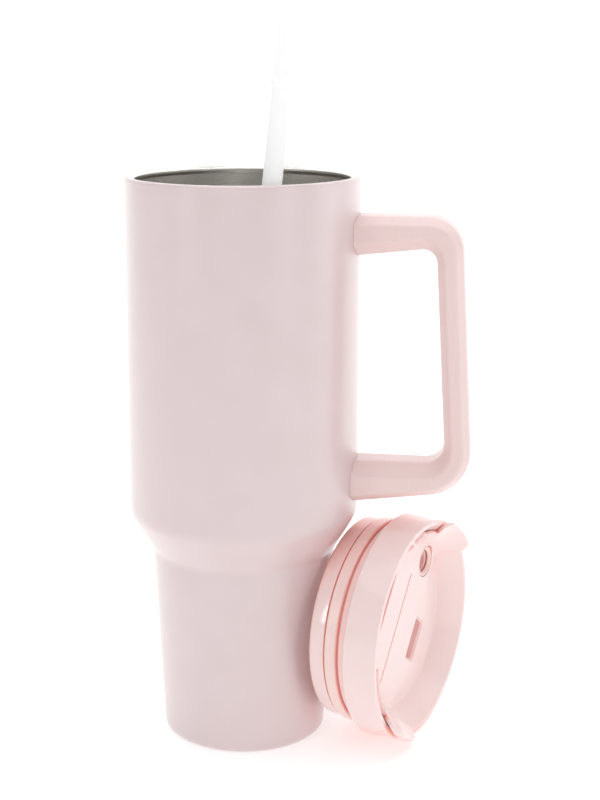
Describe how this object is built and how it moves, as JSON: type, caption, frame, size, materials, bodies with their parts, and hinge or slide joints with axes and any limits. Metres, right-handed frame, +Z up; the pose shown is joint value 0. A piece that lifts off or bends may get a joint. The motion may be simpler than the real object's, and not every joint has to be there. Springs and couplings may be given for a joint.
{
  "type": "insulated tumbler with lid",
  "caption": "Stepped stainless vacuum tumbler with a side handle, its push-in lid with a rotating cover stood beside it, and a drinking straw in the open cup.",
  "frame": {"origin": "centre of the base on the table", "axes": "+Z up along the cup's axis, +X towards the handle's grip, +Y completes a right-handed frame"},
  "size_m": [0.1494, 0.1021, 0.3194],
  "materials": {
    "powder_coat": "satin, fine powder coat",
    "steel": "brushed",
    "solder": "glass solder",
    "handle_plastic": "satin",
    "lid_plastic": "gloss",
    "silicone": "satin",
    "straw_plastic": "translucent"
  },
  "bodies": {
    "tumbler": {"outer_shell": "powder_coat", "inner_liner": "steel", "vacuum_bottom": "steel", "seal_bead": "solder", "getter": "steel", "base_plate": "powder_coat", "upper_bracket": "steel", "lower_bracket": "steel", "handle_shell": "handle_plastic", "handle_inner_cover": "handle_plastic", "handle_screws": "steel"},
    "lid": {"lid_bowl": "lid_plastic", "lid_plug": "lid_plastic", "lid_gasket": "silicone", "straw_port_ring": "silicone"},
    "cover": {"cover": "lid_plastic", "straw_grommet": "silicone", "slot_seal_pad": "silicone", "pivot_o_ring": "silicone", "pivot_washer": "lid_plastic", "pivot_screw": "steel"},
    "straw": {"straw": "straw_plastic"}
  },
  "joints": [
    {"name": "lid_slide", "type": "slide", "parent": "tumbler", "child": "lid", "axis": [0.9346, -0.3556, 0], "range_m": [0, 0.12]},
    {"name": "cover_turn", "type": "hinge", "parent": "lid", "child": "cover", "pos_m": [0.0808, -0.002, 0.04993], "axis": [0.9345, -0.3555, -0.0194], "range_deg": [0, 180]},
    {"name": "straw_lift", "type": "slide", "parent": "tumbler", "child": "straw", "axis": [0.1092, -0.0624, 0.9921], "range_m": [0, 0.32]}
  ]
}
